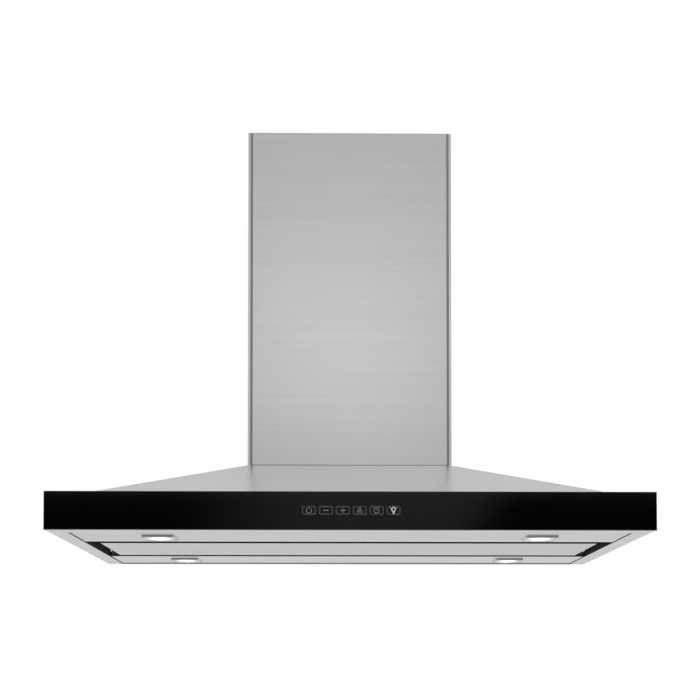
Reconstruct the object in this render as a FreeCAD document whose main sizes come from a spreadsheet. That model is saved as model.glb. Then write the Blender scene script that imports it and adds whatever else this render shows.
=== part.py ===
import FreeCAD, Part
import os
import re
import Sketcher

# Island range hood: a low glass-fronted canopy under a telescopic chimney that hangs from the ceiling.
# X runs across the hood, -Y is its control side and +Z is up. The origin is the middle of the
# ceiling plate's top face. Heights in the sheet count up from the hood's underside.

doc = FreeCAD.newDocument("IslandRangeHood")
sheet = doc.addObject("Spreadsheet::Sheet", "Sizes")

SIZES = {
    # overall
    "hood_width": 900, "hood_depth": 600, "hood_height": 650,
    # glass front and the steel housing behind it
    "glass_height": 57, "glass_thick": 5, "glass_round": 1, "fascia_depth": 25, "fascia_sheet": 1.2,
    "fascia_inset": 1, "window_width": 130, "window_height": 30, "window_middle": 29,
    "board_thick": 1.6, "board_play": 2,
    # body frame under the canopy
    "frame_height": 48, "frame_sheet": 1.5, "frame_bend": 2, "side_rail": 28, "front_rail": 15,
    "rear_rail": 28, "lip_height": 12,
    # canopy
    "canopy_rise": 71, "canopy_sheet": 1.3, "throat_width": 250, "throat_depth": 220,
    # lamp strips and lamps
    "strip_depth": 134, "strip_seam": 2, "strip_sheet": 1.2, "strip_edge": 14, "strip_bend": 2,
    "lamp_width": 52, "lamp_depth": 64, "lamp_inset": 129, "lamp_proud": 3, "lamp_rim": 4,
    "lamp_corner": 6, "lamp_play": 0.2, "lamp_collar": 1, "lens_sink": 0.8, "module_rise": 14,
    "module_rim": 3,
    # filter pan, filters and latches
    "pan_level": 26, "pan_sheet": 1.2, "pan_play": 0.5, "filter_end": 34, "filter_margin": 29,
    "filter_height": 9, "filter_drop": 2, "filter_rail": 10, "filter_play": 1, "filter_bar": 16,
    "mesh_play": 0.3, "mesh_recess": 1, "tab_reach": 5, "tab_width": 20, "tab_thick": 1.5,
    "tab_spread": 120, "bolt_width": 30, "bolt_thick": 2, "bolt_reach": 4, "bolt_play": 0.3,
    "bolt_rise": 1.8, "notch_depth": 24, "notch_side": 7, "guide_side": 6, "pull_drop": 9,
    "pull_back": 6, "pull_thick": 2, "guide_thick": 1,
    # hinged suction panel
    "side_slot": 22, "long_slot": 30, "panel_sheet": 1.2, "panel_edge": 12, "panel_bend": 1,
    "backing_level": 9, "backing_sheet": 1, "pivot_inset": 10, "pivot_rise": 8, "pin_radius": 3,
    "pin_reach": 14, "pin_play": 0.05, "bracket_gap": 8, "bracket_thick": 3, "bracket_half": 6,
    "bracket_drop": 6, "catch_width": 7, "catch_depth": 24, "catch_inset": 6, "catch_play": 0.5,
    "catch_gap": 0.4,
    # fasteners of the pan
    "screw_head": 4, "screw_high": 2.2, "screw_inset": 10, "screw_pitch": 80,
    "screw_shift": 20,
    # control electronics
    "box_width": 120, "box_depth": 80, "box_height": 30, "box_sheet": 1.5, "box_inset": 72,
    "box_shift": 22, "box_lid": 1.2, "card_rise": 6, "card_play": 3, "gland_radius": 8,
    "gland_bore": 4, "gland_reach": 18,
    # blower
    "blower_width": 147, "blower_radius": 112, "blower_sheet": 1.5, "blower_axis": 265,
    "neck_width": 160, "neck_top": 400, "inlet_radius": 60, "inlet_rim": 12, "inlet_thick": 3,
    "wheel_radius": 88, "wheel_width": 120, "wheel_ring": 2, "blade_depth": 16, "blade_thick": 1.2,
    "blade_edge": 1, "disc_offset": 10, "disc_thick": 2, "hub_radius": 14, "hub_length": 14,
    "shaft_radius": 4, "shaft_play": 0.05, "shaft_length": 43, "shaft_depth": 26, "shaft_end": 1,
    "motor_radius": 45, "motor_length": 82.5, "arm_width": 16, "arm_thick": 3, "arm_short": 1,
    "cradle_half": 60, "cradle_thick": 2, "cradle_rise": 64, "base_thick": 2, "base_width": 256,
    "base_depth": 224,
    "base_window": 140,
    # outlet collar and its two backdraft flaps
    "collar_radius": 75, "collar_sheet": 1.5, "collar_height": 50, "flap_level": 25, "flap_thick": 1,
    "flap_play": 1.5, "flap_root": 4, "knuckle_radius": 3.5, "knuckle_half": 55, "wire_radius": 2,
    "wire_play": 0.05, "wire_short": 0.3, "stop_width": 5, "stop_thick": 1, "stop_gap": 0.3,
    # chimney covers and the frame inside them
    "chimney_width": 322, "chimney_depth": 290, "cover_sheet": 1, "cover_flange": 3.5, "cover_gap": 4,
    "joggle_width": 16, "nest_gap": 1, "half_gap": 0.2, "upper_bottom": 140, "post_gap": 1,
    "post_leg": 25, "post_sheet": 2, "post_clear": 90, "slide_gap": 0.5, "inner_leg": 22,
    "inner_bottom": 150, "tie_drop": 80, "tie_height": 20, "plate_thick": 3,
    "duct_radius": 85, "hanger_spacing_x": 240, "hanger_spacing_y": 200, "hanger_radius": 4.5,
}
for row, (alias, number) in enumerate(SIZES.items(), 1):
    sheet.set(f"A{row}", alias)
    sheet.set(f"B{row}", str(number))
    sheet.setAlias(f"B{row}", alias)
doc.recompute()

BLADES = 32
ARMS = 3

# Places that several pieces share, as expressions on the sheet
half_width = "hood_width/2"
front_wall = "(fascia_depth - hood_depth/2)"
rear_wall = "(hood_depth/2)"
open_side = "(hood_width/2 - side_rail)"
open_front = f"({front_wall} + front_rail)"
open_rear = f"({rear_wall} - rear_rail)"
slot_front = f"({open_front} + strip_depth)"
slot_rear = f"({open_rear} - strip_depth)"
middle = f"(({open_front} + {open_rear})/2)"
canopy_top = "(frame_height + canopy_rise)"
lamp_x = f"({open_side} - lamp_inset)"
filter_width = f"({open_side} - filter_end - filter_bar/2)"
filter_x = f"(({filter_width} + filter_bar)/2)"
filter_front = f"({slot_front} + filter_margin)"
filter_rear = f"({slot_rear} - filter_margin)"
filter_depth = f"({filter_rear} - {filter_front})"
filter_low = "(pan_level - filter_drop)"
bolt_low = "(pan_level + bolt_rise)"
panel_side = f"({open_side} - side_slot)"
panel_front = f"({slot_front} + long_slot)"
panel_rear = f"({slot_rear} - long_slot)"
pivot_y = f"({panel_rear} - pivot_inset)"
pan_top = "(pan_level + pan_sheet)"
plate_low = "(hood_height - plate_thick)"
post_top = "(hood_height - post_clear)"
collar_bore = "(collar_radius - collar_sheet)"
flap_z = "(neck_top + flap_level)"
NODES = {}


def bound(text):
    """The expression with every named size read from the sheet."""
    return re.sub(r"([a-z]+_[a-z_]+)", r"Sizes.\1", text)


def number(text):
    result = sheet.evalExpression(bound(text))
    return float(getattr(result, "Value", result))


def node(label, piece, lift="0"):
    """Names a finished piece and hangs it at its height under the ceiling."""
    piece.Label = label
    piece.setExpression("Placement.Base.z", bound(f"{lift} - hood_height"))
    NODES[label] = piece
    return piece


def rectangle(x_low, x_high, y_low, y_high):
    return [(x_low, y_low), (x_high, y_low), (x_high, y_high), (x_low, y_high)]


def centred(width, depth, x="0", y="0"):
    half_x, half_y = f"({width})/2", f"({depth})/2"
    return rectangle(f"{x} - {half_x}", f"{x} + {half_x}", f"{y} - {half_y}", f"{y} + {half_y}")


def hold(sketch, kind, geometry, point, text):
    """Ties one coordinate of a sketch point, measured from the sketch's origin, to the sheet."""
    index = sketch.addConstraint(Sketcher.Constraint(kind, -1, 1, geometry, point, number(text)))
    sketch.setExpression(f"Constraints[{index}]", bound(text))


def draw_polygon(sketch, points):
    corners = [FreeCAD.Vector(number(x), number(y), 0) for x, y in points]
    first = sketch.GeometryCount
    for start, end in zip(corners, corners[1:] + corners[:1]):
        sketch.addGeometry(Part.LineSegment(start, end), False)
    for index, (x, y) in enumerate(points):
        following = first + (index + 1) % len(points)
        sketch.addConstraint(Sketcher.Constraint("Coincident", first + index, 2, following, 1))
        hold(sketch, "DistanceX", first + index, 1, x)
        hold(sketch, "DistanceY", first + index, 1, y)


def draw_circle(sketch, x, y, radius):
    centre = FreeCAD.Vector(number(x), number(y), 0)
    index = sketch.addGeometry(Part.Circle(centre, FreeCAD.Vector(0, 0, 1), number(radius)), False)
    hold(sketch, "DistanceX", index, 3, x)
    hold(sketch, "DistanceY", index, 3, y)
    size = sketch.addConstraint(Sketcher.Constraint("Radius", index, number(radius)))
    sketch.setExpression(f"Constraints[{size}]", bound(radius))


def new_body(label):
    body = doc.addObject("PartDesign::Body", label)
    if hasattr(body, "AllowCompound"):
        body.AllowCompound = True
    return body


def new_sketch(body, plane, offset, outlines):
    """A sketch on one of the body's own planes: polygons are lists, circles are (x, y, radius)."""
    sketch = body.newObject("Sketcher::SketchObject", f"{body.Name}_outline")
    support = next(f for f in body.Origin.OriginFeatures if f.Role == f"{plane}_Plane")
    sketch.AttachmentSupport = (support, [""])
    sketch.MapMode = "FlatFace"
    sketch.setExpression("AttachmentOffset.Base.z", bound(offset))
    for outline in outlines:
        if isinstance(outline, tuple):
            draw_circle(sketch, *outline)
        else:
            draw_polygon(sketch, outline)
    return sketch


def pad(body, plane, offset, length, outlines):
    feature = body.newObject("PartDesign::Pad", f"{body.Name}_pad")
    feature.Profile = new_sketch(body, plane, offset, outlines)
    feature.setExpression("Length", bound(length))
    return feature


def layered(label, layers, lift="0"):
    """A body made of pads, each given as plane, offset, length and outlines."""
    body = new_body(label)
    for layer in layers:
        pad(body, *layer)
    return node(label, body, lift)


def soften(body, radius, wanted):
    """Rounds the edges of the body's tip that wanted() accepts."""
    doc.recompute()
    base = body.Tip
    names = [f"Edge{i}" for i, e in enumerate(base.Shape.Edges, 1) if wanted(e)]
    feature = body.newObject("PartDesign::Fillet", f"{body.Name}_round")
    feature.Base = (base, names)
    feature.setExpression("Radius", bound(radius))
    return feature


def flat_at(level, axis="z"):
    """Accepts edges that lie wholly at one height along an axis of the body."""
    def wanted(edge):
        ends = [getattr(v.Point, axis) for v in edge.Vertexes]
        return max(abs(end - level) for end in ends) < 0.01
    return wanted


def outer_edges(level, x_limit):
    """Accepts edges at one height that reach the outline's far X, so not those of inner cut-outs."""
    def wanted(edge):
        return flat_at(level)(edge) and max(abs(v.X) for v in edge.Vertexes) > x_limit - 0.01
    return wanted


def upright(edge):
    low, high = edge.Vertexes[0].Point, edge.Vertexes[-1].Point
    return (low - high).Length > 0.1 and abs(low.x - high.x) + abs(low.y - high.y) < 0.001


def block(name, x, y, z, size_x, size_y, size_z):
    box = doc.addObject("Part::Box", name)
    for prop, text in (("Length", size_x), ("Width", size_y), ("Height", size_z)):
        box.setExpression(prop, bound(text))
    for axis, text in zip("xyz", (x, y, z)):
        box.setExpression(f"Placement.Base.{axis}", bound(text))
    return box


def rod(name, x, y, z, radius, length, axis="x"):
    """A cylinder that starts at x, y, z and runs along +X or +Z."""
    cylinder = doc.addObject("Part::Cylinder", name)
    cylinder.setExpression("Radius", bound(radius))
    cylinder.setExpression("Height", bound(length))
    if axis == "x":
        cylinder.Placement.Rotation = FreeCAD.Rotation(FreeCAD.Vector(0, 1, 0), 90)
    for letter, text in zip("xyz", (x, y, z)):
        cylinder.setExpression(f"Placement.Base.{letter}", bound(text))
    return cylinder


def joined(name, pieces):
    fuse = doc.addObject("Part::MultiFuse", name)
    fuse.Shapes = pieces
    return fuse


def less(name, base, tool):
    cut = doc.addObject("Part::Cut", name)
    cut.Base = base
    cut.Tool = tool
    return cut


def glass_front():
    body = layered("front_glass", [
        ("XZ", "hood_depth/2 - glass_thick", "glass_thick",
         [rectangle(f"-{half_width}", half_width, "0", "glass_height")]),
    ])
    soften(body, "glass_round", flat_at(-number("hood_depth/2"), "y"))


def fascia():
    half = "(hood_width/2 - fascia_inset)"
    outside = rectangle(f"-{half}", half, "0", "glass_height")
    inside = rectangle(f"fascia_sheet - {half}", f"{half} - fascia_sheet", "fascia_sheet",
                       "glass_height - fascia_sheet")
    window = centred("window_width", "window_height", "0", "window_middle")
    layered("fascia_housing", [
        ("XZ", "hood_depth/2 - fascia_depth", "fascia_depth - glass_thick", [outside, inside]),
        ("XZ", "hood_depth/2 - glass_thick - fascia_sheet", "fascia_sheet", [outside, window]),
    ])
    board = centred("window_width - 2*board_play", "window_height - 2*board_play", "0", "window_middle")
    layered("touch_board", [("XZ", "hood_depth/2 - glass_thick - board_thick", "board_thick", [board])])


def body_frame():
    outside = rectangle(f"-{half_width}", half_width, front_wall, rear_wall)
    wall = "frame_sheet"
    inside = rectangle(f"{wall} - {half_width}", f"{half_width} - {wall}", f"{front_wall} + {wall}",
                       f"{rear_wall} - {wall}")
    opening = rectangle(f"-{open_side}", open_side, open_front, open_rear)
    around = rectangle(f"-{open_side} - {wall}", f"{open_side} + {wall}", f"{open_front} - {wall}",
                       f"{open_rear} + {wall}")
    body = layered("body_frame", [
        ("XY", "0", wall, [outside, opening]),
        ("XY", "0", "frame_height", [outside, inside]),
        ("XY", "0", "lip_height", [around, opening]),
    ])
    soften(body, "frame_bend", outer_edges(0, number(half_width)))


def canopy():
    body = new_body("canopy_shell")
    base = rectangle(f"-{half_width}", half_width, front_wall, rear_wall)
    top = centred("chimney_width", "chimney_depth")
    for kind, drop in (("PartDesign::AdditiveLoft", "0"), ("PartDesign::SubtractiveLoft", "canopy_sheet")):
        low = new_sketch(body, "XY", f"frame_height - {drop}", [base])
        high = new_sketch(body, "XY", f"{canopy_top} - {drop}", [top])
        loft = body.newObject(kind, "canopy_loft")
        loft.Profile = low
        loft.Sections = [high]
        loft.Ruled = True
        doc.recompute()
    before = body.Shape.Volume
    throat = body.newObject("PartDesign::Pocket", "throat")
    throat.Profile = new_sketch(body, "XY", canopy_top, [centred("throat_width", "throat_depth")])
    throat.setExpression("Length", bound("2*canopy_sheet"))
    doc.recompute()
    wanted = number("throat_width*throat_depth*canopy_sheet")
    if abs(before - body.Shape.Volume - wanted) > 1:
        raise RuntimeError("the throat doesn't go through the canopy's top")
    node("canopy_shell", body)


def lamp_strip(label, y_low, y_high):
    side = f"({open_side} - strip_seam)"
    y_mid = f"(({y_low}) + ({y_high}))/2"
    outside = rectangle(f"-{side}", side, y_low, y_high)
    inside = rectangle(f"strip_sheet - {side}", f"{side} - strip_sheet", f"{y_low} + strip_sheet",
                       f"{y_high} - strip_sheet")
    grow = "2*(lamp_collar + lamp_play - lamp_rim)"
    cuts = [centred(f"lamp_width + {grow}", f"lamp_depth + {grow}", f"{sign}{lamp_x}", y_mid)
            for sign in ("-", "")]
    body = layered(label, [
        ("XY", "0", "strip_edge", [outside, inside]),
        ("XY", "0", "strip_sheet", [outside] + cuts),
    ])
    soften(body, "strip_bend", outer_edges(0, number(side)))
    return y_mid


def lamp(place, x, y):
    """One lamp: a rim that stands proud of the strip, its lens and the collar that locates it."""
    outside = centred("lamp_width", "lamp_depth", x, y)
    collar = centred("lamp_width + 2*(lamp_collar - lamp_rim)", "lamp_depth + 2*(lamp_collar - lamp_rim)",
                     x, y)
    inside = centred("lamp_width - 2*lamp_rim", "lamp_depth - 2*lamp_rim", x, y)
    rim = new_body(f"lamp_bezel_{place}")
    pad(rim, "XY", "-lamp_proud", "lamp_proud", [outside])
    soften(rim, "lamp_corner", upright)
    soften(rim, "lamp_proud/2", flat_at(-number("lamp_proud")))
    doc.recompute()
    pad(rim, "XY", "0", "strip_sheet", [collar])
    hole = rim.newObject("PartDesign::Pocket", "lamp_window")
    hole.Profile = new_sketch(rim, "XY", "strip_sheet", [inside])
    hole.setExpression("Length", bound("lamp_proud + 2*strip_sheet"))
    node(f"lamp_bezel_{place}", rim)
    glass = centred("lamp_width - 2*lamp_rim - 2*lamp_play", "lamp_depth - 2*lamp_rim - 2*lamp_play", x, y)
    layered(f"lamp_lens_{place}", [("XY", "lens_sink - lamp_proud", "lamp_proud", [glass])])


def lamps():
    front = lamp_strip("front_lamp_strip", f"{open_front} + strip_seam", slot_front)
    rear = lamp_strip("rear_lamp_strip", slot_rear, f"{open_rear} - strip_seam")
    blocks = []
    for row, y in (("front", front), ("rear", rear)):
        for side, sign in (("left", "-"), ("right", "")):
            x = f"{sign}{lamp_x}"
            lamp(f"{row}_{side}", x, y)
            blocks.append(centred("lamp_width - module_rim*2", "lamp_depth - module_rim*2", x, y))
    rise = "lens_sink + strip_sheet"
    layered("led_modules", [("XY", rise, "module_rise", blocks)])


def filter_pan():
    wall = "(frame_sheet + pan_play)"
    outside = rectangle(f"{wall} - {half_width}", f"{half_width} - {wall}", f"{front_wall} + {wall}",
                        f"{rear_wall} - {wall}")
    openings = [centred(f"{filter_width} + 2*filter_play", f"{filter_depth} + 2*filter_play",
                        f"{sign}{filter_x}", middle) for sign in ("-", "")]
    lip_out = rectangle(f"-{open_side} - frame_sheet", f"{open_side} + frame_sheet",
                        f"{open_front} - frame_sheet", f"{open_rear} + frame_sheet")
    lip_in = rectangle(f"-{open_side}", open_side, open_front, open_rear)
    walls = []
    for low, high in ((f"{slot_front} - strip_sheet", slot_front), (slot_rear, f"{slot_rear} + strip_sheet")):
        side = f"({open_side} - strip_seam)"
        walls.append(rectangle(f"-{side}", side, low, high))
    layered("filter_pan", [
        ("XY", "pan_level", "pan_sheet", [outside] + openings),
        ("XY", "lip_height", "pan_level - lip_height", [lip_out, lip_in]),
        ("XY", "strip_edge", "pan_level - strip_edge", walls),
    ])


def notched(x, width, low_y, high_y, rail, notch, depth):
    """A C-shaped ring, or with no rail a plate, whose -Y side is open over the notch's width."""
    left, right = f"({x} - {width}/2)", f"({x} + {width}/2)"
    gap_left, gap_right = f"({x} - {notch}/2)", f"({x} + {notch}/2)"
    points = [(gap_left, low_y), (left, low_y), (left, high_y), (right, high_y), (right, low_y),
              (gap_right, low_y)]
    if rail is None:
        return points + [(gap_right, f"{low_y} + {depth}"), (gap_left, f"{low_y} + {depth}")]
    inner_y = f"{low_y} + {rail}"
    return points + [(gap_right, inner_y), (f"{right} - {rail}", inner_y),
                     (f"{right} - {rail}", f"{high_y} - {rail}"),
                     (f"{left} + {rail}", f"{high_y} - {rail}"), (f"{left} + {rail}", inner_y),
                     (gap_left, inner_y)]


def grease_filter(side, sign):
    x = f"{sign}{filter_x}"
    ring_out = centred(filter_width, filter_depth, x, middle)
    ring_in = centred(f"{filter_width} - 2*filter_rail", f"{filter_depth} - 2*filter_rail", x, middle)
    slot_width = "(bolt_width + 2*filter_play)"
    slot_low = f"({bolt_low} - bolt_play)"
    slot_high = f"({bolt_low} + bolt_thick + bolt_play)"
    tabs = [rectangle(f"{x} {way} tab_spread - tab_width/2", f"{x} {way} tab_spread + tab_width/2",
                      f"{filter_rear} - filter_rail/2", f"{filter_rear} + tab_reach") for way in ("-", "+")]
    layered(f"filter_frame_{side}", [
        ("XY", filter_low, f"{slot_low} - {filter_low}", [ring_out, ring_in]),
        ("XY", slot_low, f"{slot_high} - {slot_low}",
         [notched(x, filter_width, filter_front, filter_rear, "filter_rail", slot_width, None)]),
        ("XY", slot_high, f"{filter_low} + filter_height - {slot_high}", [ring_out, ring_in]),
        ("XY", pan_top, "tab_thick", tabs),
    ])
    mesh_low = f"({filter_front} + filter_rail + mesh_play)"
    mesh_high = f"({filter_rear} - filter_rail - mesh_play)"
    mesh = notched(x, f"({filter_width} - 2*filter_rail - 2*mesh_play)", mesh_low, mesh_high, None,
                   "(bolt_width + 2*notch_side)", "notch_depth")
    layered(f"filter_mesh_{side}", [
        ("XY", f"{filter_low} + mesh_recess", "filter_height - 2*mesh_recess", [mesh]),
    ])
    bolt_back = f"({filter_front} + filter_rail + pull_back + pull_thick)"
    bolt = rectangle(f"{x} - bolt_width/2", f"{x} + bolt_width/2", f"{filter_front} - bolt_reach", bolt_back)
    pull = rectangle(f"{x} - bolt_width/2", f"{x} + bolt_width/2", f"{bolt_back} - pull_thick", bolt_back)
    layered(f"filter_latch_{side}", [
        ("XY", bolt_low, "bolt_thick", [bolt]),
        ("XY", f"{bolt_low} - pull_drop", "pull_drop + bolt_thick", [pull]),
    ])
    guide = rectangle(f"{x} - bolt_width/2 - guide_side", f"{x} + bolt_width/2 + guide_side",
                      f"{filter_front} + filter_rail", f"{filter_front} + filter_rail + notch_depth")
    layered(f"latch_guide_{side}", [("XY", f"{slot_high} + bolt_play", "guide_thick", [guide])])


def suction_panel():
    side = f"({panel_side} - panel_sheet)"
    outside = rectangle(f"-{panel_side}", panel_side, panel_front, panel_rear)
    inside = rectangle(f"-{side}", side, f"{panel_front} + panel_sheet", f"{panel_rear} - panel_sheet")
    body = layered("suction_panel", [
        ("XY", "0", "panel_edge", [outside, inside]),
        ("XY", "0", "panel_sheet", [outside]),
    ])
    soften(body, "panel_bend", outer_edges(0, number(panel_side)))
    layered("panel_backing", [("XY", "backing_level", "backing_sheet", [inside])])
    catch_x = f"({side} - catch_play - catch_width/2)"
    strikes = [centred("catch_width", "catch_depth", f"{sign}{catch_x}",
                       f"{panel_front} + catch_inset + catch_depth/2") for sign in ("-", "")]
    layered("panel_strikes", [
        ("XY", "backing_level + backing_sheet", "panel_edge - backing_level - backing_sheet", strikes),
    ])
    layered("panel_catches", [
        ("XY", "panel_edge + catch_gap", "pan_level - panel_edge - catch_gap", strikes),
    ])


def panel_hinges():
    pins = []
    ears = []
    for sign, start in (("-", f"-{panel_side} - pin_reach"), ("", panel_side)):
        pins.append(rod("hinge_pin", start, pivot_y, "pivot_rise", "pin_radius", "pin_reach"))
        near = f"{sign}({panel_side} + bracket_gap + bracket_thick/2) - bracket_thick/2"
        ears.append(block("hinge_ear", near, f"{pivot_y} - bracket_half", "pivot_rise - bracket_drop",
                          "bracket_thick", "2*bracket_half", "pan_level - pivot_rise + bracket_drop"))
    bore = rod("hinge_bore", "-hood_width/2", pivot_y, "pivot_rise", "pin_radius + pin_play", "hood_width")
    node("hinge_pins", joined("hinge_pins", pins))
    node("hinge_brackets", less("hinge_brackets", joined("hinge_ears", ears), bore))


def pan_screws():
    heads = []
    for sign in ("-", ""):
        for step in ("-1", "0", "1"):
            x = f"{sign}({open_side} - screw_inset)"
            y = f"{middle} + {step}*screw_pitch - screw_shift"
            heads.append(rod("pan_screw", x, y, "pan_level - screw_high", "screw_head", "screw_high", "z"))
    node("pan_screws", joined("pan_screws", heads))


def control_box():
    right = f"({open_side} - box_inset)"
    left = f"({right} - box_width)"
    front = f"({slot_rear} + box_shift)"
    rear = f"({front} + box_depth)"
    outside = rectangle(left, right, front, rear)
    inside = rectangle(f"{left} + box_sheet", f"{right} - box_sheet", f"{front} + box_sheet",
                       f"{rear} - box_sheet")
    card = rectangle(f"{left} + card_play", f"{right} - card_play", f"{front} + card_play",
                     f"{rear} - card_play")
    layered("control_box", [
        ("XY", pan_top, "box_height", [outside, inside]),
        ("XY", pan_top, "box_sheet", [outside]),
    ])
    layered("control_box_lid", [("XY", f"{pan_top} + box_height", "box_lid", [outside])])
    layered("control_card", [("XY", f"{pan_top} + card_rise", "board_thick", [card])])
    y = f"{front} + box_depth/2"
    z = f"{pan_top} + box_height/2"
    outer = rod("gland_body", f"{left} - gland_reach", y, z, "gland_radius", "gland_reach")
    inner = rod("gland_way", f"{left} - gland_reach", y, z, "gland_bore", "gland_reach")
    node("cable_gland", less("cable_gland", outer, inner))


def blower_housing():
    half = "blower_width/2"
    sheet_in = "blower_sheet"
    outside = joined("scroll_outside", [
        rod("scroll_drum", f"-{half}", "0", "blower_axis", "blower_radius", "blower_width"),
        block("scroll_neck", f"-{half}", "-neck_width/2", "blower_axis", "blower_width", "neck_width",
              "neck_top - blower_axis"),
    ])
    inside = joined("scroll_inside", [
        rod("scroll_room", f"{sheet_in} - {half}", "0", "blower_axis", f"blower_radius - {sheet_in}",
            f"blower_width - 2*{sheet_in}"),
        block("scroll_way", f"{sheet_in} - {half}", f"{sheet_in} - neck_width/2", "blower_axis",
              f"blower_width - 2*{sheet_in}", f"neck_width - 2*{sheet_in}", "neck_top - blower_axis"),
        rod("scroll_inlets", f"-{half}", "0", "blower_axis", "inlet_radius + inlet_rim/2", "blower_width"),
    ])
    node("blower_scroll", less("blower_scroll", outside, inside))
    for side, offset in (("left", f"-{half} - inlet_thick"), ("right", half)):
        layered(f"inlet_ring_{side}", [
            ("YZ", offset, "inlet_thick",
             [("0", "0", "inlet_radius + inlet_rim"), ("0", "0", "inlet_radius")]),
        ], "blower_axis")


def blower_supports():
    half = "blower_width/2"
    feet_low = f"({canopy_top} + base_thick)"
    plates = [block("cradle", x, "-cradle_half", feet_low, "cradle_thick", "2*cradle_half", "cradle_rise")
              for x in (f"-{half} - cradle_thick", half)]
    node("blower_cradles", joined("blower_cradles", plates))
    layered("blower_base", [
        ("XY", canopy_top, "base_thick",
         [centred("base_width", "base_depth"), centred("base_window", "base_window")]),
    ])


def motor():
    left = "(-blower_width/2 - inlet_thick)"
    can = rod("motor_can", left, "0", "0", "motor_radius", "motor_length")
    bore = rod("motor_bore", f"{left} + motor_length - shaft_depth", "0", "0", "shaft_radius + shaft_play",
               "shaft_depth")
    node("motor", less("motor", can, bore), "blower_axis")
    body = new_body("motor_bracket")
    pad(body, "YZ", f"{left} - arm_thick", "arm_thick", [("0", "0", "motor_radius")])
    arm = pad(body, "YZ", f"{left} - arm_thick", "arm_thick",
              [rectangle("-arm_width/2", "arm_width/2", "0", "inlet_radius + inlet_rim - arm_short")])
    turn_about_shaft(body, arm, ARMS)
    node("motor_bracket", body, "blower_axis")


def turn_about_shaft(body, feature, count):
    doc.recompute()
    pattern = body.newObject("PartDesign::PolarPattern", f"{body.Name}_pattern")
    pattern.Originals = [feature]
    axis = next(f for f in body.Origin.OriginFeatures if f.Role == "X_Axis")
    pattern.Axis = (axis, [""])
    pattern.Angle = 360
    pattern.Occurrences = count
    body.Tip = pattern


def impeller():
    body = new_body("impeller")
    hole = ("0", "0", "shaft_radius")
    rim = ("0", "0", "wheel_radius")
    pad(body, "YZ", "disc_offset", "disc_thick", [rim, hole])
    pad(body, "YZ", "disc_offset", "hub_length", [("0", "0", "hub_radius"), hole])
    inner = "wheel_radius - blade_depth"
    thick = rectangle("-blade_thick/2", "blade_thick/2", f"{inner} + blade_edge", "wheel_radius - blade_edge")
    blade = pad(body, "YZ", "-wheel_width/2", "wheel_width", [thick])
    turn_about_shaft(body, blade, BLADES)
    for offset in ("-wheel_width/2", "wheel_width/2 - wheel_ring"):
        pad(body, "YZ", offset, "wheel_ring", [rim, ("0", "0", inner)])
    node("impeller", body, "blower_axis")
    start = "motor_length - shaft_depth + shaft_end - blower_width/2 - inlet_thick"
    node("fan_shaft", rod("fan_shaft", start, "0", "0", "shaft_radius", "shaft_length"), "blower_axis")


def outlet_collar():
    bore = collar_bore
    collar = layered("outlet_collar", [
        ("XY", "neck_top", "collar_sheet", [centred("neck_width", "neck_width"), ("0", "0", bore)]),
        ("XY", "neck_top", "collar_height", [("0", "0", "collar_radius"), ("0", "0", bore)]),
        ("XY", f"{flap_z} - flap_thick/2 - stop_gap - stop_thick", "stop_thick",
         [("0", "0", "collar_radius"), ("0", "0", f"{bore} - stop_width")]),
    ])
    holes = collar.newObject("PartDesign::Pocket", "wire_holes")
    holes.Profile = new_sketch(collar, "YZ", "collar_radius",
                               [(f"{sign}flap_root", flap_z, "wire_radius") for sign in ("-", "")])
    holes.setExpression("Length", bound("2*collar_radius"))
    reach = "(collar_radius - wire_short)"
    wires = []
    for name, sign in (("front", "-"), ("rear", "")):
        y = f"{sign}flap_root"
        wires.append(rod("flap_wire", f"-{reach}", y, flap_z, "wire_radius", f"2*{reach}"))
        knuckle = rod("knuckle", "-knuckle_half", y, flap_z, "knuckle_radius", "2*knuckle_half")
        disc = rod("flap_disc", "0", "0", f"{flap_z} - flap_thick/2", f"{bore} - flap_play",
                   "flap_thick", "z")
        far = "0 - collar_radius" if sign == "-" else "flap_root"
        side = block("flap_side", "-collar_radius", far, f"{flap_z} - flap_thick", "2*collar_radius",
                     "collar_radius - flap_root" if sign == "-" else "collar_radius", "2*flap_thick")
        leaf = doc.addObject("Part::Common", "flap_leaf")
        leaf.Base = disc
        leaf.Tool = side
        hole = rod("knuckle_bore", "-collar_radius", y, flap_z, "wire_radius + wire_play", "2*collar_radius")
        flap = less(f"damper_flap_{name}", joined("flap_solid", [leaf, knuckle]), hole)
        node(f"damper_flap_{name}", flap)
    node("flap_wires", joined("flap_wires", wires))


def lower_covers():
    half_x, half_y = "(chimney_width/2)", "(chimney_depth/2)"
    height = f"hood_height - {canopy_top}"
    t = "cover_sheet"
    for side, sign in (("left", "-"), ("right", "")):
        outline = []
        for way in ("-", ""):
            corner = [(f"{sign}{half_x}", f"{way}{half_y}"),
                      (f"{sign}({half_x} - cover_flange)", f"{way}{half_y}"),
                      (f"{sign}({half_x} - cover_flange)", f"{way}({half_y} - {t})"),
                      (f"{sign}({half_x} - joggle_width)", f"{way}({half_y} - {t})"),
                      (f"{sign}({half_x} - joggle_width)", f"{way}({half_y} - 2*{t})"),
                      (f"{sign}({half_x} - {t})", f"{way}({half_y} - 2*{t})")]
            outline += corner if way == "-" else corner[::-1]
        layered(f"cover_{side}", [("XY", canopy_top, height, [outline])])
    reach = "(chimney_width/2 - cover_flange - cover_gap)"
    for name, low, high in (("front", f"-{half_y}", f"{t} - {half_y}"), ("rear", f"{half_y} - {t}", half_y)):
        layered(f"cover_{name}", [("XY", canopy_top, height, [rectangle(f"-{reach}", reach, low, high)])])


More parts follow.
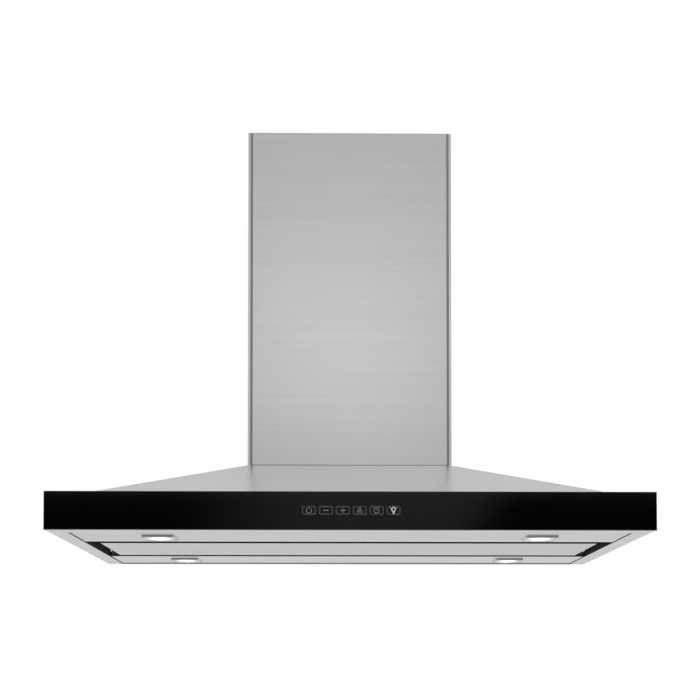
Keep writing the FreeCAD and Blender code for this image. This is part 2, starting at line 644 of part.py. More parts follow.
def upper_section():
    half_x = "(chimney_width/2 - cover_sheet - nest_gap)"
    half_y = "(chimney_depth/2 - 2*cover_sheet - nest_gap)"
    t = "cover_sheet"
    for name, way in (("front", "-"), ("rear", "")):
        seam = f"{way}half_gap"
        outline = [(f"-{half_x}", seam), (f"-{half_x}", f"{way}{half_y}"), (half_x, f"{way}{half_y}"),
                   (half_x, seam), (f"{half_x} - {t}", seam), (f"{half_x} - {t}", f"{way}({half_y} - {t})"),
                   (f"{t} - {half_x}", f"{way}({half_y} - {t})"), (f"{t} - {half_x}", seam)]
        layered(f"upper_cover_{name}", [("XY", "upper_bottom", "hood_height - upper_bottom", [outline])])
    post_x = f"({half_x} - {t} - post_gap)"
    post_y = f"({half_y} - {t} - post_gap)"
    inner_x = f"({post_x} - post_sheet - slide_gap)"
    inner_y = f"({post_y} - post_sheet - slide_gap)"
    lower = [angle_post(x, y, post_x, post_y, "post_leg") for x in ("-", "") for y in ("-", "")]
    upper = [angle_post(x, y, inner_x, inner_y, "inner_leg") for x in ("-", "") for y in ("-", "")]
    layered("lower_posts", [("XY", canopy_top, f"{post_top} - {canopy_top}", lower)])
    layered("upper_posts", [("XY", "inner_bottom", f"{plate_low} - inner_bottom", upper)])
    tie_x = f"({post_x} - post_leg)"
    tie_y = f"({post_y} - post_leg)"
    ties = []
    for way in (-1, 1):
        near, far = sorted((f"{way}*{post_y}", f"{way}*({post_y} - post_sheet)"), key=number)
        ties.append(rectangle(f"-{tie_x}", tie_x, near, far))
        near, far = sorted((f"{way}*{post_x}", f"{way}*({post_x} - post_sheet)"), key=number)
        ties.append(rectangle(near, far, f"-{tie_y}", tie_y))
    layered("frame_ties", [("XY", f"{post_top} - tie_drop", "tie_height", ties)])
    hangers = [(f"{x}hanger_spacing_x/2", f"{y}hanger_spacing_y/2", "hanger_radius")
               for x in ("-", "") for y in ("-", "")]
    layered("ceiling_plate", [
        ("XY", plate_low, "plate_thick",
         [centred(f"2*{post_x}", f"2*{post_y}"), ("0", "0", "duct_radius")] + hangers),
    ])


def angle_post(sign_x, sign_y, x, y, leg):
    """The section of an angle post whose outer corner is at x, y."""
    return [(f"{sign_x}{x}", f"{sign_y}{y}"), (f"{sign_x}({x} - {leg})", f"{sign_y}{y}"),
            (f"{sign_x}({x} - {leg})", f"{sign_y}({y} - post_sheet)"),
            (f"{sign_x}({x} - post_sheet)", f"{sign_y}({y} - post_sheet)"),
            (f"{sign_x}({x} - post_sheet)", f"{sign_y}({y} - {leg})"),
            (f"{sign_x}{x}", f"{sign_y}({y} - {leg})")]


glass_front()
fascia()
body_frame()
canopy()
lamps()
filter_pan()
grease_filter("left", "-")
grease_filter("right", "")
suction_panel()
panel_hinges()
pan_screws()
control_box()
blower_housing()
blower_supports()
motor()
impeller()
outlet_collar()
lower_covers()
upper_section()
doc.recompute()

for thing in doc.Objects:
    if "Invalid" in thing.State or "Error" in thing.State:
        raise RuntimeError(f"{thing.Label} failed: {thing.State}")
for label, piece in NODES.items():
    if piece.Shape.isNull() or not piece.Shape.isValid() or not piece.Shape.Solids:
        raise RuntimeError(f"{label} has no sound shape")
os.makedirs("parts", exist_ok=True)
for label, piece in NODES.items():
    piece.Shape.exportStep(f"parts/{label}.step")
print(f"{len(NODES)} sub-parts, {sum(len(p.Shape.Solids) for p in NODES.values())} solids")
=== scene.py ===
import bpy
import bmesh
import math
from mathutils import Matrix, Vector


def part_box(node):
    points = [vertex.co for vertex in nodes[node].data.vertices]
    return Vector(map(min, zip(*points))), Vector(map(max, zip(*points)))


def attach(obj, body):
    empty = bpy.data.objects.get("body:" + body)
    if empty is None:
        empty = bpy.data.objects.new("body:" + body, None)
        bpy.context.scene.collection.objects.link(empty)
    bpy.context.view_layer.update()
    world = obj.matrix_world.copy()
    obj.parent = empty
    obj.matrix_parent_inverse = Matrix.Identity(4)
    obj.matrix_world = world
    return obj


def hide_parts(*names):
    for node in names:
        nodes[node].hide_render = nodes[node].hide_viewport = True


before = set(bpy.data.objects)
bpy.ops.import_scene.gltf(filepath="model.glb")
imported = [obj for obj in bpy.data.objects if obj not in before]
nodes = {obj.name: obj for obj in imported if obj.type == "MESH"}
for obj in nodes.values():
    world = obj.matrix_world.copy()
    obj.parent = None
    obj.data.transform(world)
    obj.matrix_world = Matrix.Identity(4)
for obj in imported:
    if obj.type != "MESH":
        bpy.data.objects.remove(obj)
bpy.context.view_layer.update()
scene = bpy.context.scene
scene.view_settings.view_transform = "Standard"


# --- camera ---
cameraPlace = {"at": (-0.0285, -2.3448, -0.8719), "turn": 0.754, "tilt": 1.849,  # metres and degrees
               "lens": 71.98, "sensor": 36, "shiftUp": 0.409, "farthest": 200}


def placeCamera():
    lensData = bpy.data.cameras.new("studioCamera")
    lensData.sensor_width = cameraPlace["sensor"]
    lensData.lens = cameraPlace["lens"]
    lensData.shift_y = cameraPlace["shiftUp"]
    lensData.clip_end = cameraPlace["farthest"]
    camera = bpy.data.objects.new("studioCamera", lensData)
    scene.collection.objects.link(camera)
    camera.location = cameraPlace["at"]
    camera.rotation_euler = (math.radians(90 + cameraPlace["tilt"]), 0, math.radians(-cameraPlace["turn"]))
    scene.camera = camera


placeCamera()
print("camera placed")


# --- shader tools ---
class Wire:  # a socket whose sums become Math nodes
    def __init__(self, tree, socket):
        self.tree = tree
        self.socket = socket

    def sum(self, operation, first, second):
        return self.tree.node("ShaderNodeMath", {"operation": operation}, {0: first, 1: second})

    def __add__(self, other):
        return self.sum("ADD", self, other)

    def __sub__(self, other):
        return self.sum("SUBTRACT", self, other)

    def __mul__(self, other):
        return self.sum("MULTIPLY", self, other)

    def __truediv__(self, other):
        return self.sum("DIVIDE", self, other)

    def __rsub__(self, other):
        return self.sum("SUBTRACT", other, self)

    __radd__ = __add__
    __rmul__ = __mul__


class Finish:  # one node tree, of a material or of the world
    def __init__(self, owner):
        self.owner = owner
        owner.use_nodes = True
        self.tree = owner.node_tree

    def node(self, kind, settings, sockets, output=0):
        made = self.tree.nodes.new(kind)
        for name, value in settings.items():
            setattr(made, name, value)
        for name, value in sockets.items():
            self.feed(made.inputs[name], value)
        return Wire(self, made.outputs[output])

    def feed(self, socket, value):
        if isinstance(value, Wire):
            self.tree.links.new(value.socket, socket)
        else:
            socket.default_value = value

    def surface(self, **values):
        shader = self.tree.nodes["Principled BSDF"]
        for name, value in values.items():
            self.feed(shader.inputs[name.replace("_", " ")], value)

    def ownPlace(self):
        return self.node("ShaderNodeTexCoord", {}, {}, "Object")

    def axes(self):  # the object's own x, y and z
        split = self.node("ShaderNodeSeparateXYZ", {}, {"Vector": self.ownPlace()})
        outputs = split.socket.node.outputs
        return [Wire(self, outputs[axis]) for axis in range(3)]

    def size(self, value):
        return self.node("ShaderNodeMath", {"operation": "ABSOLUTE"}, {0: value})

    def speckle(self, place, stretch, detail=3.0, roughness=0.55):  # noise from 0 to 1, scaled by axis
        spread = self.node("ShaderNodeMapping", {}, {"Vector": place, "Scale": stretch})
        return self.node("ShaderNodeTexNoise", {}, {"Vector": spread, "Scale": 1.0, "Detail": detail,
                                                    "Roughness": roughness})

    def step(self, value, low, high):  # a soft step from 0 at low to 1 at high
        return self.node("ShaderNodeMapRange", {"interpolation_type": "SMOOTHSTEP"},
                         {"Value": value, "From Min": low, "From Max": high})

    def blend(self, amount, first, second):
        return self.node("ShaderNodeMix", {"data_type": "RGBA"}, {0: amount, 6: first, 7: second}, 2)

    def bump(self, height, strength, distance):
        return self.node("ShaderNodeBump", {}, {"Height": height, "Strength": strength, "Distance": distance})


def grey(level):
    return (level, level, level, 1)


def newFinish(name):
    return Finish(bpy.data.materials.new(name))


# --- finishes ---
steelLooks = {
    "canopySteel": {"along": "x", "tone": 0.63, "roughness": 0.34, "streak": 0.10},
    "chimneySteel": {"along": "x", "tone": 0.64, "roughness": 0.36, "streak": 0.20},
    "chimneySideSteel": {"along": "y", "tone": 0.64, "roughness": 0.36, "streak": 0.20},
    "stripSteel": {"along": "x", "tone": 0.86, "roughness": 0.28, "streak": 0.12},
    # painted light: the rear strip's steel is a brighter copy of the front strip's
    "rearStripPaintedLightSteel": {"along": "x", "tone": 1.0, "roughness": 0.28, "streak": 0.12},
    "frameSteel": {"along": "x", "tone": 0.92, "roughness": 0.32, "streak": 0.08},
    "panelSteel": {"along": "x", "tone": 0.77, "roughness": 0.29, "streak": 0.14},
}
grain = {"along": 5, "across": 900, "streakAlong": 1.5, "streakAcross": 160, "cloud": 0.14, "spread": 0.2,
         "green": 1.003, "roughSpread": 0.16, "relief": 0.12, "depth": 0.0003, "paintedShadeTone": 0.008}


def steelShade(finish, name):
    look = steelLooks[name]
    if look["along"] == "x":
        fine = (grain["along"], grain["across"], grain["across"])
        coarse = (grain["streakAlong"], grain["streakAcross"], grain["streakAcross"])
    else:
        fine = (grain["across"], grain["along"], grain["across"])
        coarse = (grain["streakAcross"], grain["streakAlong"], grain["streakAcross"])
    place = finish.ownPlace()
    hairline = finish.speckle(place, fine, 4.0, 0.6)
    streak = finish.speckle(place, coarse, 3.0)
    cloud = finish.speckle(place, (4, 4, 4), 2.0)
    lines = (hairline - 0.5) * look["streak"] + (streak - 0.5) * look["streak"]
    shade = lines + (cloud - 0.5) * grain["cloud"] + 0.5
    low, high = look["tone"] - grain["spread"], min(look["tone"] + grain["spread"], 1.0)
    dark = (low, low * grain["green"], low, 1)
    light = (high, min(high * grain["green"], 1.0), high, 1)
    colour = finish.blend(shade, dark, light)
    rough = look["roughness"] + (hairline - 0.5) * grain["roughSpread"]
    return colour, rough, hairline * 0.6 + streak * 0.4


def brushedSteel(name, paintedShadeWhere=None, paintedHighlightWhere=None):  # each mask takes the finish and its x, y and z; the first mask paints shade, the second paints a highlight
    finish = newFinish(name)
    colour, rough, ridges = steelShade(finish, name)
    x, y, z = finish.axes()
    # painted highlight: the masked steel blends towards white
    if paintedHighlightWhere:
        colour = finish.blend(paintedHighlightWhere(finish, x, y, z), colour, grey(1.0))
    metal = 1.0
    # painted shade: the masked steel turns near-black, less metallic and rougher
    if paintedShadeWhere:
        paintedShade = paintedShadeWhere(finish, x, y, z)
        colour = finish.blend(paintedShade, colour, grey(grain["paintedShadeTone"]))
        metal = 1 - paintedShade
        rough = rough + paintedShade * 0.3
    finish.surface(Base_Color=colour, Metallic=metal, Roughness=rough,
                   Normal=finish.bump(ridges, grain["relief"], grain["depth"]))
    return finish.owner


def spangledZinc():
    finish = newFinish("spangledZinc")
    place = finish.ownPlace()
    cells = finish.node("ShaderNodeTexVoronoi", {}, {"Vector": place, "Scale": 160.0}, "Color")
    spangle = finish.node("ShaderNodeSeparateColor", {}, {"Color": cells})
    dust = finish.speckle(place, (35, 35, 35))
    shade = spangle * 0.5 + dust * 0.5
    colour = finish.blend(shade, (0.40, 0.42, 0.43, 1), (0.60, 0.61, 0.62, 1))
    finish.surface(Base_Color=colour, Metallic=1.0, Roughness=0.36 + spangle * 0.14,
                   Normal=finish.bump(dust, 0.06, 0.0004))
    return finish.owner


def blackGlass():
    finish = newFinish("blackGlass")
    place = finish.ownPlace()
    ripple = finish.speckle(place, (2.2, 2.2, 2.2), 1.0)
    smear = finish.speckle(place, (14, 14, 40), 4.0)
    colour = finish.blend(smear, grey(0.0004), grey(0.0008))
    finish.surface(Base_Color=colour, Roughness=0.035 + smear * 0.03, IOR=1.5,
                   Normal=finish.bump(ripple, 0.02, 0.002))
    return finish.owner


def paint(name, dark, light, roughness, grain=900, relief=0.08):
    finish = newFinish(name)
    place = finish.ownPlace()
    peel = finish.speckle(place, (grain, grain, grain), 3.0)
    cloud = finish.speckle(place, (18, 18, 18))
    finish.surface(Base_Color=finish.blend(cloud, (*dark, 1), (*light, 1)), Roughness=roughness + peel * 0.1,
                   Normal=finish.bump(peel, relief, 0.0002))
    return finish.owner


def smoothMetal(name, tone, roughness, paintedShadeWhere=None):
    finish = newFinish(name)
    place = finish.ownPlace()
    turned = finish.speckle(place, (420, 420, 420), 2.0)
    cloud = finish.speckle(place, (22, 22, 22))
    colour = finish.blend(cloud, grey(tone - 0.05), grey(tone + 0.05))
    # painted shade: the rim turns near-black where the mask says
    if paintedShadeWhere:
        colour = finish.blend(paintedShadeWhere(finish, *finish.axes()), colour, grey(0.01))
    finish.surface(Base_Color=colour, Metallic=1.0, Roughness=roughness + turned * 0.08,
                   Normal=finish.bump(turned, 0.04, 0.0002))
    return finish.owner


lensLook = {"tone": 0.42, "power": 2.4, "depthWeight": 0.6, "rim": 0.85, "heart": 0.15,
            "edge": (0.12, 0.119, 0.115, 1), "middle": (1.0, 0.99, 0.96, 1)}


def lensGlow(corner):  # brightest over the lamp's middle
    finish = newFinish(f"lensGlow_{corner}")
    low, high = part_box(f"lamp_lens_{corner}")
    x, y = finish.axes()[:2]
    across = (x - (low[0] + high[0]) / 2) / ((high[0] - low[0]) / 2)
    along = (y - (low[1] + high[1]) / 2) / ((high[1] - low[1]) / 2)
    spread = across * across + along * along * lensLook["depthWeight"]
    reach = finish.node("ShaderNodeMath", {"operation": "SQRT"}, {0: spread})
    heart = finish.step(reach, lensLook["rim"], lensLook["heart"])
    frost = finish.speckle(finish.ownPlace(), (700, 700, 700), 2.0)
    finish.surface(Base_Color=grey(lensLook["tone"]), Roughness=0.35 + frost * 0.1,
                   Emission_Color=finish.blend(heart, lensLook["edge"], lensLook["middle"]),
                   Emission_Strength=lensLook["power"], Normal=finish.bump(frost, 0.05, 0.0003))
    return finish.owner


def boardGreen():
    finish = newFinish("boardGreen")
    place = finish.ownPlace()
    tracks = finish.node("ShaderNodeTexVoronoi", {"distance": "MANHATTAN"}, {"Vector": place, "Scale": 260.0})
    line = finish.step(tracks, 0.28, 0.34)
    colour = finish.blend(line, (0.012, 0.10, 0.035, 1), (0.03, 0.19, 0.07, 1))
    finish.surface(Base_Color=colour, Roughness=0.42, Normal=finish.bump(line, 0.15, 0.0002))
    return finish.owner


def keyInk(name, level):
    finish = newFinish(name)
    place = finish.ownPlace()
    fade = finish.speckle(place, (500, 500, 500), 2.0)
    finish.surface(Base_Color=finish.blend(fade, grey(level * 0.8), grey(level)), Roughness=0.5,
                   Emission_Color=finish.blend(fade, grey(0.85), grey(1.0)), Emission_Strength=level)
    return finish.owner


def coat(material, *names):
    for name in names:
        for place in nodes[name].material_slots:
            place.material = material


# --- painted shade and painted highlights on the steel ---
frameLow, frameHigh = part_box("body_frame")
undersideZ = frameLow[2]
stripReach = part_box("front_lamp_strip")[1][0]
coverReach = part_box("cover_right")[1][0]
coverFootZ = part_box("cover_front")[0][2]
paintedLightBands = {"edge": 0.0003, "wall": 0.0002, "side": 0.0035, "lipFront": 0.010, "lipSoft": 0.001, "rear": 0.029,
         "rearTop": 0.004, "rearSoft": 0.001, "rearDark": 0.88, "fold": 0.002, "foldHighlight": 0.75,
         "joint": 0.0039, "jointDark": 0.62, "foot": 0.0012, "footDark": 0.45, "rimIn": 0.0014,
         "rimSoft": 0.0006, "rimDark": 0.6}


def aboveUnderside(finish, x, y, z):  # painted shade inside the gaps, just above the flat underside
    start = undersideZ + paintedLightBands["wall"]
    return finish.step(z, start, start + paintedLightBands["edge"])


def insideLip(finish, x, y, z):  # painted shade on the frame's upright lip round the opening; its rear rail darkened near the underside
    opening = stripReach + paintedLightBands["side"]
    within = finish.step(finish.size(x), opening + paintedLightBands["edge"], opening)
    lipStart = frameLow[1] + paintedLightBands["lipFront"]
    front = finish.step(y, lipStart, lipStart + paintedLightBands["lipSoft"])
    railStart = frameHigh[1] - paintedLightBands["rear"]
    rear = finish.step(y, railStart, railStart + paintedLightBands["edge"])
    railTop = undersideZ + paintedLightBands["rearTop"]
    rail = rear * finish.step(z, railTop, railTop - paintedLightBands["rearSoft"]) * paintedLightBands["rearDark"] * within
    lip = aboveUnderside(finish, x, y, z) * within * front * (1 - rear)
    return lip + rail * (1 - lip)


def paintedFoldHighlight(name, front, rear):  # painted highlight along a sheet's long edges where they fold, each this deep
    low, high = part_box(name)

    def mask(finish, x, y, z):
        there = 0.0
        if front:
            there = finish.step(y, low[1] + front, low[1] + front - paintedLightBands["fold"])
        if rear:
            there = there + finish.step(y, high[1] - rear, high[1] - rear + paintedLightBands["fold"])
        return there * paintedLightBands["foldHighlight"]
    return mask


def behindGap(finish, x, y, z):  # painted shade on the stepped-back lands of the side covers, behind the front and rear covers
    reach = coverReach - paintedLightBands["joint"]
    return finish.step(finish.size(x), reach + paintedLightBands["edge"], reach) * paintedLightBands["jointDark"]


def coverFoot(finish, x, y, z):  # painted shade along the covers' lower edge, where they meet the canopy
    top = coverFootZ + paintedLightBands["foot"]
    return finish.step(z, top + paintedLightBands["edge"], top) * paintedLightBands["footDark"]


def rimWall(row):  # the side of a lamp's rim that faces the front, in its own shadow
    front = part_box(f"lamp_bezel_{row}_left")[0][1] + paintedLightBands["rimIn"]

    def mask(finish, x, y, z):
        return finish.step(y, front + paintedLightBands["rimSoft"], front) * paintedLightBands["rimDark"]
    return mask


steel = {
    "canopySteel": brushedSteel("canopySteel"),
    "chimneySteel": brushedSteel("chimneySteel", paintedShadeWhere=coverFoot),
    "chimneySideSteel": brushedSteel("chimneySideSteel", paintedShadeWhere=behindGap),
    "frontStrip": brushedSteel("stripSteel", aboveUnderside, paintedFoldHighlight("front_lamp_strip", 0, 0.024)),
    "rearStrip": brushedSteel("rearStripPaintedLightSteel", aboveUnderside, paintedFoldHighlight("rear_lamp_strip", 0.012, 0.012)),
    "frameSteel": brushedSteel("frameSteel", paintedShadeWhere=insideLip),
    "panelSteel": brushedSteel("panelSteel", aboveUnderside, paintedFoldHighlight("suction_panel", 0.006, 0.014)),
}
zinc = spangledZinc()
darkPan = paint("panBlack", (0.004, 0.004, 0.004), (0.008, 0.008, 0.008), 0.5)
blackPlastic = paint("mouldedBlack", (0.018, 0.018, 0.019), (0.03, 0.03, 0.031), 0.48, 1400, 0.14)
motorGrey = paint("motorGrey", (0.05, 0.052, 0.056), (0.09, 0.092, 0.096), 0.4, 700)
chromeRim = {row: smoothMetal(f"chromeRim_{row}", 0.7, 0.2, rimWall(row)) for row in ("front", "rear")}
turnedSteel = smoothMetal("turnedSteel", 0.66, 0.22)
filterAluminium = smoothMetal("filterAluminium", 0.78, 0.26)
glass = blackGlass()
board = boardGreen()
inkDim = keyInk("inkDim", 0.075)
inkLine = keyInk("inkLine", 0.22)
inkLit = keyInk("inkLit", 0.95)

sides = ("left", "right")
rows = ("front", "rear")
corners = [f"{row}_{side}" for row in rows for side in sides]
coat(steel["canopySteel"], "canopy_shell")
coat(steel["chimneySteel"], "cover_front", "cover_rear", "upper_cover_front", "upper_cover_rear")
coat(steel["chimneySideSteel"], "cover_left", "cover_right")
coat(steel["frontStrip"], "front_lamp_strip")
coat(steel["rearStrip"], "rear_lamp_strip")
coat(steel["frameSteel"], "body_frame", "fascia_housing")
coat(steel["panelSteel"], "suction_panel")
coat(glass, "front_glass")
coat(darkPan, "filter_pan", "hinge_brackets")
coat(zinc, "panel_backing", "control_box", "control_box_lid", "blower_scroll", "blower_base",
     "blower_cradles", "outlet_collar", "damper_flap_front", "damper_flap_rear", "lower_posts",
     "upper_posts", "frame_ties", "ceiling_plate")
coat(turnedSteel, "hinge_pins", "pan_screws", "flap_wires", "fan_shaft", "panel_strikes")
for row in rows:
    coat(chromeRim[row], *[f"lamp_bezel_{row}_{side}" for side in sides])
for corner in corners:
    coat(lensGlow(corner), f"lamp_lens_{corner}")
coat(filterAluminium, *[f"filter_frame_{side}" for side in sides], *[f"filter_mesh_{side}" for side in sides])
coat(blackPlastic, "impeller", "cable_gland", "panel_catches", "led_modules",
     *[f"{part}_{side}" for part in ("filter_latch", "latch_guide", "inlet_ring") for side in sides])
coat(board, "touch_board", "control_card")
coat(motorGrey, "motor", "motor_bracket")
print("finishes on the frame's nodes")


# --- modelling tools ---
def newPiece(name, mesh, material, body):
    data = bpy.data.meshes.new(name)
    mesh.to_mesh(data)
    mesh.free()
    data.materials.append(material)
    piece = bpy.data.objects.new(name, data)
    scene.collection.objects.link(piece)
    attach(piece, body)
    return piece


def middleOf(name):
    low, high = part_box(name)
    return [(a + b) / 2 for a, b in zip(low, high)]


# --- touch keys ---
keyRow = {"count": 6, "pitch": 0.0248, "width": 0.0208, "height": 0.0132, "corner": 0.0028, "line": 0.0021,
          "across": 0.0003, "rise": 0.0289, "proud": 0.00006, "stroke": 0.0014, "roundSteps": 36}


def tile(mesh, x, z, width, height, turn=0.0):
    made = bmesh.ops.create_grid(mesh, x_segments=1, y_segments=1, size=0.5)["verts"]
    bmesh.ops.scale(mesh, vec=(width, height, 1), verts=made)
    bmesh.ops.rotate(mesh, cent=(0, 0, 0), matrix=Matrix.Rotation(turn, 3, "Z"), verts=made)
    bmesh.ops.translate(mesh, vec=(x, z, 0), verts=made)
    return made


def hoop(mesh, x, z, radius, stroke, opening=0.0):  # a ring, open at its top by an angle
    outside = bmesh.ops.create_circle(mesh, cap_ends=False, segments=keyRow["roundSteps"],
                                      radius=radius)["verts"]
    edges = list({edge for vert in outside for edge in vert.link_edges})
    grown = bmesh.ops.extrude_edge_only(mesh, edges=edges)["geom"]
    inside = [part for part in grown if isinstance(part, bmesh.types.BMVert)]
    shrink = (radius - stroke) / radius
    bmesh.ops.scale(mesh, vec=(shrink, shrink, 1), verts=inside)
    ring = [part for part in grown if isinstance(part, bmesh.types.BMFace)]
    gone = []
    for face in ring:
        centre = face.calc_center_median()
        if abs(math.atan2(centre.x, centre.y)) < opening / 2:
            gone.append(face)
    bmesh.ops.delete(mesh, geom=gone, context="FACES")
    verts = {vert for face in ring if face.is_valid for vert in face.verts}
    bmesh.ops.translate(mesh, vec=(x, z, 0), verts=list(verts))


def disc(mesh, x, z, radius):
    made = bmesh.ops.create_circle(mesh, cap_ends=True, segments=20, radius=radius)["verts"]
    bmesh.ops.translate(mesh, vec=(x, z, 0), verts=made)


def stand(mesh, x, z):  # from lying flat to standing on the glass
    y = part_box("front_glass")[0][1]
    upright = Matrix.Rotation(math.radians(90), 3, "X")
    bmesh.ops.rotate(mesh, cent=(0, 0, 0), matrix=upright, verts=mesh.verts)
    bmesh.ops.translate(mesh, vec=(x, y, z), verts=mesh.verts)
    bmesh.ops.solidify(mesh, geom=mesh.faces[:], thickness=keyRow["proud"])
    bmesh.ops.recalc_face_normals(mesh, faces=mesh.faces)


def powerSign(mesh, s):
    hoop(mesh, 0, 0, 3.1 * s, 0.8 * s, 1.3)
    tile(mesh, 0, 2.6 * s, 0.8 * s, 2.8 * s)


def minusSign(mesh, s):
    tile(mesh, 0, 0, 5.2 * s, 0.9 * s)


def plusSign(mesh, s):
    tile(mesh, 0, 0, 5.2 * s, 0.9 * s)
    tile(mesh, 0, 1.55 * s, 0.9 * s, 2.2 * s)
    tile(mesh, 0, -1.55 * s, 0.9 * s, 2.2 * s)


def fanSign(mesh, s):
    for turn in range(3):
        angle = math.radians(120 * turn)
        hoopX, hoopZ = 1.9 * s * math.sin(angle), 1.9 * s * math.cos(angle)
        hoop(mesh, hoopX, hoopZ, 1.5 * s, 0.6 * s)
    disc(mesh, 0, 0, 0.5 * s)


def clockSign(mesh, s):
    hoop(mesh, 0, 0, 3.2 * s, 0.8 * s)
    tile(mesh, 0, 0.8 * s, 0.6 * s, 2.0 * s)
    tile(mesh, 0.8 * s, 0, 1.4 * s, 0.6 * s)


def lampSign(mesh, s):
    hoop(mesh, 0, 0.9 * s, 2.4 * s, 0.9 * s)
    tile(mesh, 0, -2.2 * s, 2.2 * s, 0.8 * s)
    tile(mesh, 0, -3.3 * s, 1.6 * s, 0.7 * s)
    for turn in (-60, 0, 60):
        angle = math.radians(turn)
        tile(mesh, 3.8 * s * math.sin(angle), 0.9 * s + 3.4 * s * math.cos(angle), 0.6 * s, 1.0 * s, -angle)


def touchKeys():
    start = keyRow["across"] - keyRow["pitch"] * (keyRow["count"] - 1) / 2
    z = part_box("front_glass")[0][2] + keyRow["rise"]
    signs = (powerSign, minusSign, plusSign, fanSign, clockSign, lampSign)
    for index, sign in enumerate(signs):
        x = start + index * keyRow["pitch"]
        outline = bmesh.new()
        made = tile(outline, 0, 0, keyRow["width"], keyRow["height"])
        bmesh.ops.bevel(outline, geom=made, offset=keyRow["corner"], segments=5, profile=0.5,
                        affect="VERTICES", material=-1)
        cap = outline.faces[:]
        bmesh.ops.inset_region(outline, faces=cap, thickness=keyRow["line"], use_boundary=True)
        bmesh.ops.delete(outline, geom=cap, context="FACES")
        stand(outline, x, z)
        newPiece(f"keyOutline_{index + 1}", outline, inkDim, "hood")
        mark = bmesh.new()
        sign(mark, keyRow["stroke"])
        stand(mark, x, z)
        lit = index == len(signs) - 1
        newPiece(f"keySign_{index + 1}", mark, inkLit if lit else inkLine, "hood")


touchKeys()
print("touch keys printed")


# --- filter weave ---
weave = {"cell": 0.0072, "strand": 0.0011, "layers": 3, "squeeze": 0.62, "slip": 0.33,
         "overhang": 1.2, "notchWide": 0.046, "notchDeep": 0.025}


def filterWeave(side):
    low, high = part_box(f"filter_mesh_{side}")
    centre = middleOf(f"filter_mesh_{side}")
    width, depth = high[0] - low[0], high[1] - low[1]
    mesh = bmesh.new()
    for layer in range(weave["layers"]):
        span = width + depth / weave["squeeze"]
        cells = round(span / weave["cell"] / math.sqrt(2))
        half = span / 2 / math.sqrt(2) * weave["overhang"]
        turned = bmesh.ops.create_grid(mesh, x_segments=cells, y_segments=cells, size=half)["verts"]
        diagonal = Matrix.Rotation(math.radians(45), 3, "Z")
        bmesh.ops.rotate(mesh, cent=(0, 0, 0), matrix=diagonal, verts=turned)
        bmesh.ops.scale(mesh, vec=(1, weave["squeeze"], 1), verts=turned)
        rise = low[2] + (high[2] - low[2]) * (layer + 0.5) / weave["layers"]
        slip = weave["cell"] * weave["slip"] * layer
        bmesh.ops.translate(mesh, vec=(centre[0] + slip, centre[1] + slip, rise), verts=turned)
    for point, way in ((low, (-1, 0, 0)), (low, (0, -1, 0)), (high, (1, 0, 0)), (high, (0, 1, 0))):
        bmesh.ops.bisect_plane(mesh, geom=mesh.verts[:] + mesh.edges[:] + mesh.faces[:], plane_co=point,
                               plane_no=way, clear_outer=True)

    def inNotch(face):  # where the latch sits
        spot = face.calc_center_median()
        near = abs(spot.x - centre[0]) < weave["notchWide"] / 2
        return near and spot.y < low[1] + weave["notchDeep"]

    bmesh.ops.delete(mesh, geom=[face for face in mesh.faces if inNotch(face)], context="FACES")
    piece = newPiece(f"filterWeave_{side}", mesh, filterAluminium, "hood")
    strands = piece.modifiers.new("strands", "WIREFRAME")
    strands.thickness = weave["strand"]
    strands.use_even_offset = False
    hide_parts(f"filter_mesh_{side}")


for side in sides:
    filterWeave(side)
print("filter weave in place")


# --- studio ---
studio = {"floor": -1.45, "floorHalf": 30, "floorTone": 0.86, "lightsAimAt": (0, 0, -0.4)}


def layFloor():
    mesh = bmesh.new()
    bmesh.ops.create_grid(mesh, x_segments=1, y_segments=1, size=studio["floorHalf"])
    bmesh.ops.translate(mesh, vec=(0, 0, studio["floor"]), verts=mesh.verts)
    data = bpy.data.meshes.new("studioFloor")
    mesh.to_mesh(data)
    mesh.free()
    finish = newFinish("studioFloor")
    finish.surface(Base_Color=grey(studio["floorTone"]), Roughness=0.9)
    data.materials.append(finish.owner)
    floor = bpy.data.objects.new("studioFloor", data)
    scene.collection.objects.link(floor)


skyLook = {"level": 0.79, "topDrop": 0.30, "dark": 0.985, "card": 0.28}


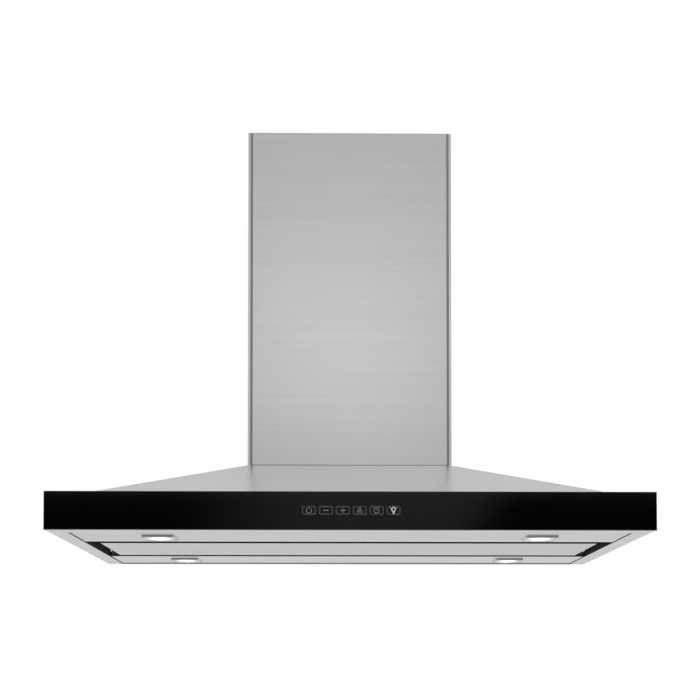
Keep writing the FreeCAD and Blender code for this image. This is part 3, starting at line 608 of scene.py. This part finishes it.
def hangSky():  # a pale room with a dark flag in front, and a pale card in the flag's middle
    sky = Finish(bpy.data.worlds.new("studioSky"))
    scene.world = sky.owner
    back = sky.tree.nodes["Background"]
    way = sky.node("ShaderNodeTexCoord", {}, {}, "Generated")
    split = sky.tree.nodes.new("ShaderNodeSeparateXYZ")
    sky.feed(split.inputs[0], way)
    x, y, z = (Wire(sky, split.outputs[axis]) for axis in range(3))
    front = sky.step(y, 0.1, -0.3)
    ahead = sky.node("ShaderNodeMath", {"operation": "MAXIMUM"}, {0: y * -1.0, 1: 0.05})
    across = x / ahead
    up = z / ahead
    flag = front * (1 - sky.step(up, 0.13, 0.16)) * sky.step(up, -0.3, -0.1)
    flag = flag * sky.step(across, -0.4, -0.22) * (1 - sky.step(across, 0.25, 0.4))
    card = sky.step(across, -0.12, 0.0) * (1 - sky.step(across - up * 0.6, 0.01, 0.06))
    shade = skyLook["level"] - skyLook["topDrop"] * front * sky.step(up, 0.24, 0.42)
    level = shade * (1 - flag * skyLook["dark"]) + flag * card * skyLook["card"]
    ray = sky.node("ShaderNodeLightPath", {}, {}, "Is Camera Ray")
    lit = sky.node("ShaderNodeMix", {"data_type": "FLOAT"}, {0: ray, 2: level, 3: 1.0}, 0)
    sky.feed(back.inputs["Strength"], lit)
    sky.feed(back.inputs["Color"], (1, 1, 1, 1))


softLights = (
    {"name": "middleCard", "at": (0.0, -2.0, 0.10), "size": (0.5, 0.4), "power": 0.9},
    {"name": "keyLight", "at": (1.9, -2.4, 0.6), "size": (1.4, 1.4), "power": 3},
    {"name": "topLight", "at": (0.0, -1.0, 2.4), "size": (4.4, 1.6), "power": 44},
)


def hangLights():
    for light in softLights:
        data = bpy.data.lights.new(light["name"], "AREA")
        data.shape = "RECTANGLE"
        data.size, data.size_y = light["size"]
        data.energy = light["power"]
        lamp = bpy.data.objects.new(light["name"], data)
        scene.collection.objects.link(lamp)
        lamp.location = light["at"]
        aim = Vector(studio["lightsAimAt"]) - lamp.location
        lamp.rotation_euler = aim.to_track_quat("-Z", "Y").to_euler()


layFloor()
hangSky()
hangLights()
print("studio ready")
